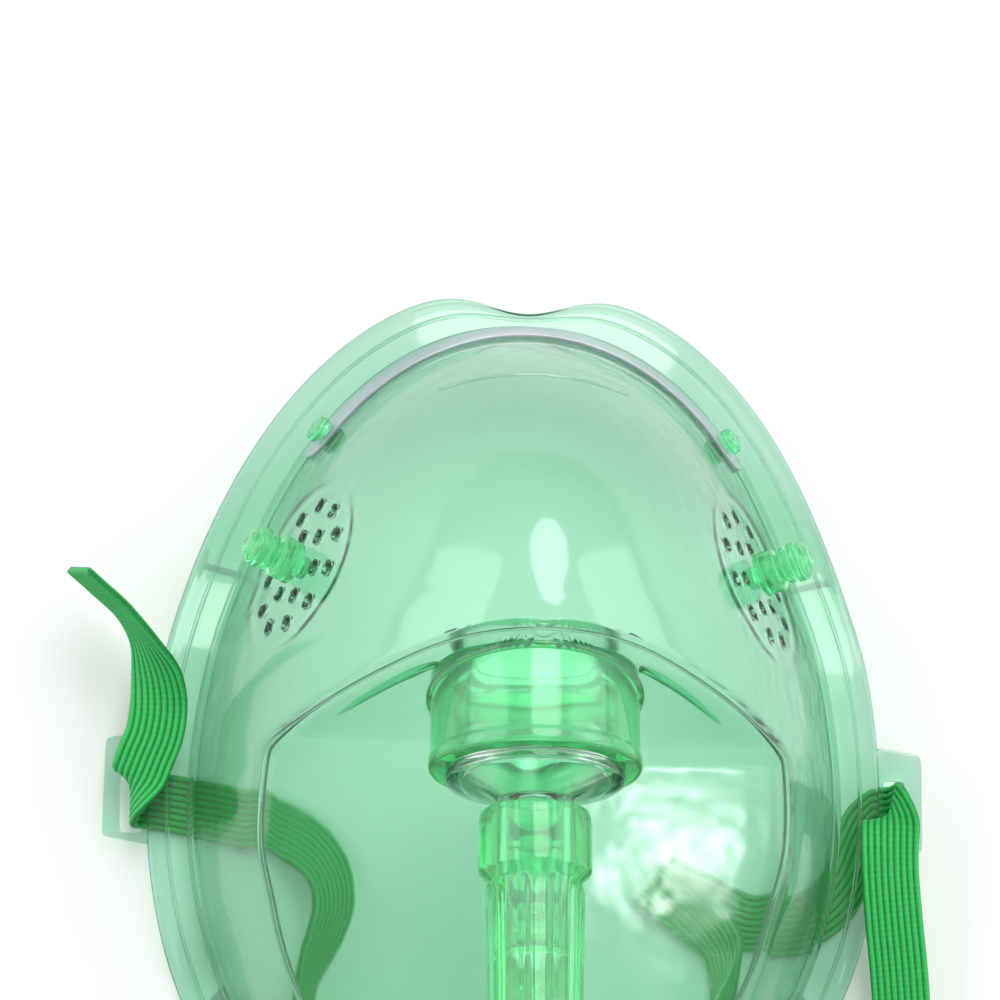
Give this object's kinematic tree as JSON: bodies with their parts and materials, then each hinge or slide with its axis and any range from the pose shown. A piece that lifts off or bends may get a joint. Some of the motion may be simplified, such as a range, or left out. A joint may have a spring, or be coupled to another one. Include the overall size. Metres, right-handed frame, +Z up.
{
  "type": "oxygen face mask",
  "caption": "Soft see-through oxygen face mask on its rim, with port ring, swivel adapter, nose clip, vent posts, head strap and coiled supply hose.",
  "frame": {"origin": "middle of the mask's footprint on the surface it lies on, without the strap and the hose", "axes": "+Z up out of the surface, +Y from the chin to the nose, +X to the right seen from above with the nose away"},
  "size_m": [0.1265, 0.2459, 0.0521],
  "materials": {
    "soft_green_pvc": "soft clear green tinted PVC",
    "port_green_pvc": "thick clear green tinted PVC",
    "clear_plastic": "clear hard plastic",
    "clip_aluminium": "satin soft aluminium strip",
    "strap_elastic": "ribbed woven elastic",
    "hose_pvc": "clear green tinted PVC hose"
  },
  "bodies": {
    "mask": {"facepiece_shell": "soft_green_pvc", "port_collar": "port_green_pvc", "nose_clip": "clip_aluminium", "left_clip_stud": "port_green_pvc", "right_clip_stud": "port_green_pvc", "left_vent_post": "port_green_pvc", "right_vent_post": "port_green_pvc", "elastic_strap": "strap_elastic"},
    "adapter": {"swivel_adapter": "clear_plastic"},
    "hose": {"hose_cuff": "port_green_pvc", "oxygen_hose": "hose_pvc", "hose_coil": "hose_pvc", "hose_tail": "hose_pvc", "source_cuff": "port_green_pvc"}
  },
  "joints": [
    {"name": "swivel_turn", "type": "hinge", "parent": "mask", "child": "adapter", "pos_m": [0, -0.003, 0.037], "axis": [0, -0.9781, 0.2079], "continuous": true},
    {"name": "hose_pull", "type": "slide", "parent": "mask", "child": "hose", "axis": [0, -0.9781, 0.2079], "range_m": [0, 0.015]}
  ]
}
